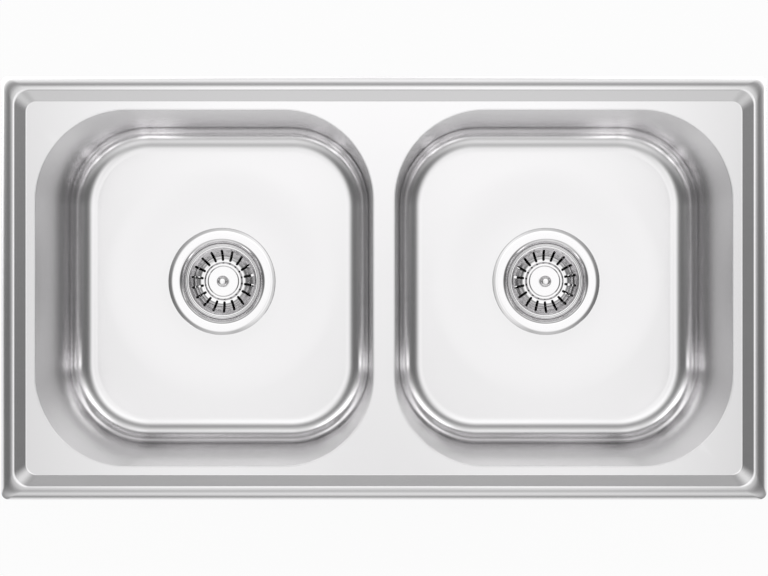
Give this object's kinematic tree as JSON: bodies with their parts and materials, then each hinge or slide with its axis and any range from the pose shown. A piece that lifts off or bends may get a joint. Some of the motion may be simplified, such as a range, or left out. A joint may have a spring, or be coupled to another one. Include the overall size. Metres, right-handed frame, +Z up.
{
  "type": "double bowl kitchen sink",
  "caption": "Inset stainless sink: raised rolled rim, flat deck, deep round-cornered bowls side by side, strainer baskets that lift out, swing-out fixing claws below.",
  "frame": {"origin": "centre of the rim in the worktop's plane, where the rim rests", "axes": "+Z up, +Y to the back of the sink, +X to its right; the bowls lie side by side along X"},
  "size_m": [0.76, 0.42, 0.2166],
  "materials": {
    "sink_steel": "fine satin pressed stainless sheet",
    "polished_steel": "mirror polished stainless",
    "turned_steel": "fine turned stainless",
    "rail_steel": "plain mill stainless strip",
    "zinc_steel": "bright zinc plated steel",
    "damping_pad": "matt bitumen damping sheet",
    "foam": "closed cell foam strip",
    "black_rubber": "smooth moulded rubber",
    "fibre": "pressed fibre washer",
    "nut_plastic": "moulded ring nut"
  },
  "bodies": {
    "sink": {"deck": "sink_steel", "left_bowl": "sink_steel", "right_bowl": "sink_steel", "left_sound_pads": "damping_pad", "right_sound_pads": "damping_pad", "rim_seal": "foam", "front_rail": "rail_steel", "back_rail": "rail_steel", "left_rail": "rail_steel", "right_rail": "rail_steel", "clip_bolts": "zinc_steel", "left_waste_cup": "polished_steel", "left_flange_seal": "black_rubber", "left_under_washer": "black_rubber", "left_friction_washer": "fibre", "left_lock_nut": "nut_plastic", "right_waste_cup": "polished_steel", "right_flange_seal": "black_rubber", "right_under_washer": "black_rubber", "right_friction_washer": "fibre", "right_lock_nut": "nut_plastic"},
    "left_stopper": {"left_stopper": "black_rubber"},
    "left_basket": {"left_basket": "polished_steel", "left_knob": "polished_steel", "left_post": "turned_steel", "left_stopper_cap": "turned_steel"},
    "right_stopper": {"right_stopper": "black_rubber"},
    "right_basket": {"right_basket": "polished_steel", "right_knob": "polished_steel", "right_post": "turned_steel", "right_stopper_cap": "turned_steel"},
    "clip_1_nut": {"clip_1_nut": "zinc_steel"},
    "clip_1_claw": {"clip_1_claw": "zinc_steel"},
    "clip_2_nut": {"clip_2_nut": "zinc_steel"},
    "clip_2_claw": {"clip_2_claw": "zinc_steel"},
    "clip_3_nut": {"clip_3_nut": "zinc_steel"},
    "clip_3_claw": {"clip_3_claw": "zinc_steel"},
    "clip_4_nut": {"clip_4_nut": "zinc_steel"},
    "clip_4_claw": {"clip_4_claw": "zinc_steel"},
    "clip_5_nut": {"clip_5_nut": "zinc_steel"},
    "clip_5_claw": {"clip_5_claw": "zinc_steel"},
    "clip_6_nut": {"clip_6_nut": "zinc_steel"},
    "clip_6_claw": {"clip_6_claw": "zinc_steel"},
    "clip_7_nut": {"clip_7_nut": "zinc_steel"},
    "clip_7_claw": {"clip_7_claw": "zinc_steel"},
    "clip_8_nut": {"clip_8_nut": "zinc_steel"},
    "clip_8_claw": {"clip_8_claw": "zinc_steel"}
  },
  "joints": [
    {"name": "left_basket_lift", "type": "slide", "parent": "sink", "child": "left_stopper", "axis": [0, 0, 1], "range_m": [0, 0.22]},
    {"name": "left_basket_turn", "type": "hinge", "parent": "left_stopper", "child": "left_basket", "pos_m": [-0.1785, 0.004, -0.1686], "axis": [0, 0, 1], "continuous": true},
    {"name": "right_basket_lift", "type": "slide", "parent": "sink", "child": "right_stopper", "axis": [0, 0, 1], "range_m": [0, 0.22]},
    {"name": "right_basket_turn", "type": "hinge", "parent": "right_stopper", "child": "right_basket", "pos_m": [0.1785, 0.004, -0.1686], "axis": [0, 0, 1], "continuous": true},
    {"name": "clip_1_tighten", "type": "slide", "parent": "sink", "child": "clip_1_nut", "axis": [0, 0, 1], "range_m": [0, 0.024]},
    {"name": "clip_1_swing", "type": "hinge", "parent": "clip_1_nut", "child": "clip_1_claw", "pos_m": [-0.24, -0.1845, -0.055], "axis": [0, 0, -1], "range_deg": [0, 90]},
    {"name": "clip_2_tighten", "type": "slide", "parent": "sink", "child": "clip_2_nut", "axis": [0, 0, 1], "range_m": [0, 0.024]},
    {"name": "clip_2_swing", "type": "hinge", "parent": "clip_2_nut", "child": "clip_2_claw", "pos_m": [0, -0.1845, -0.055], "axis": [0, 0, -1], "range_deg": [0, 90]},
    {"name": "clip_3_tighten", "type": "slide", "parent": "sink", "child": "clip_3_nut", "axis": [0, 0, 1], "range_m": [0, 0.024]},
    {"name": "clip_3_swing", "type": "hinge", "parent": "clip_3_nut", "child": "clip_3_claw", "pos_m": [0.24, -0.1845, -0.055], "axis": [0, 0, 1], "range_deg": [0, 90]},
    {"name": "clip_4_tighten", "type": "slide", "parent": "sink", "child": "clip_4_nut", "axis": [0, 0, 1], "range_m": [0, 0.024]},
    {"name": "clip_4_swing", "type": "hinge", "parent": "clip_4_nut", "child": "clip_4_claw", "pos_m": [0.3545, 0, -0.055], "axis": [0, 0, -1], "range_deg": [0, 90]},
    {"name": "clip_5_tighten", "type": "slide", "parent": "sink", "child": "clip_5_nut", "axis": [0, 0, 1], "range_m": [0, 0.024]},
    {"name": "clip_5_swing", "type": "hinge", "parent": "clip_5_nut", "child": "clip_5_claw", "pos_m": [0.24, 0.1845, -0.055], "axis": [0, 0, -1], "range_deg": [0, 90]},
    {"name": "clip_6_tighten", "type": "slide", "parent": "sink", "child": "clip_6_nut", "axis": [0, 0, 1], "range_m": [0, 0.024]},
    {"name": "clip_6_swing", "type": "hinge", "parent": "clip_6_nut", "child": "clip_6_claw", "pos_m": [0, 0.1845, -0.055], "axis": [0, 0, -1], "range_deg": [0, 90]},
    {"name": "clip_7_tighten", "type": "slide", "parent": "sink", "child": "clip_7_nut", "axis": [0, 0, 1], "range_m": [0, 0.024]},
    {"name": "clip_7_swing", "type": "hinge", "parent": "clip_7_nut", "child": "clip_7_claw", "pos_m": [-0.24, 0.1845, -0.055], "axis": [0, 0, 1], "range_deg": [0, 90]},
    {"name": "clip_8_tighten", "type": "slide", "parent": "sink", "child": "clip_8_nut", "axis": [0, 0, 1], "range_m": [0, 0.024]},
    {"name": "clip_8_swing", "type": "hinge", "parent": "clip_8_nut", "child": "clip_8_claw", "pos_m": [-0.3545, 0, -0.055], "axis": [0, 0, 1], "range_deg": [0, 90]}
  ]
}
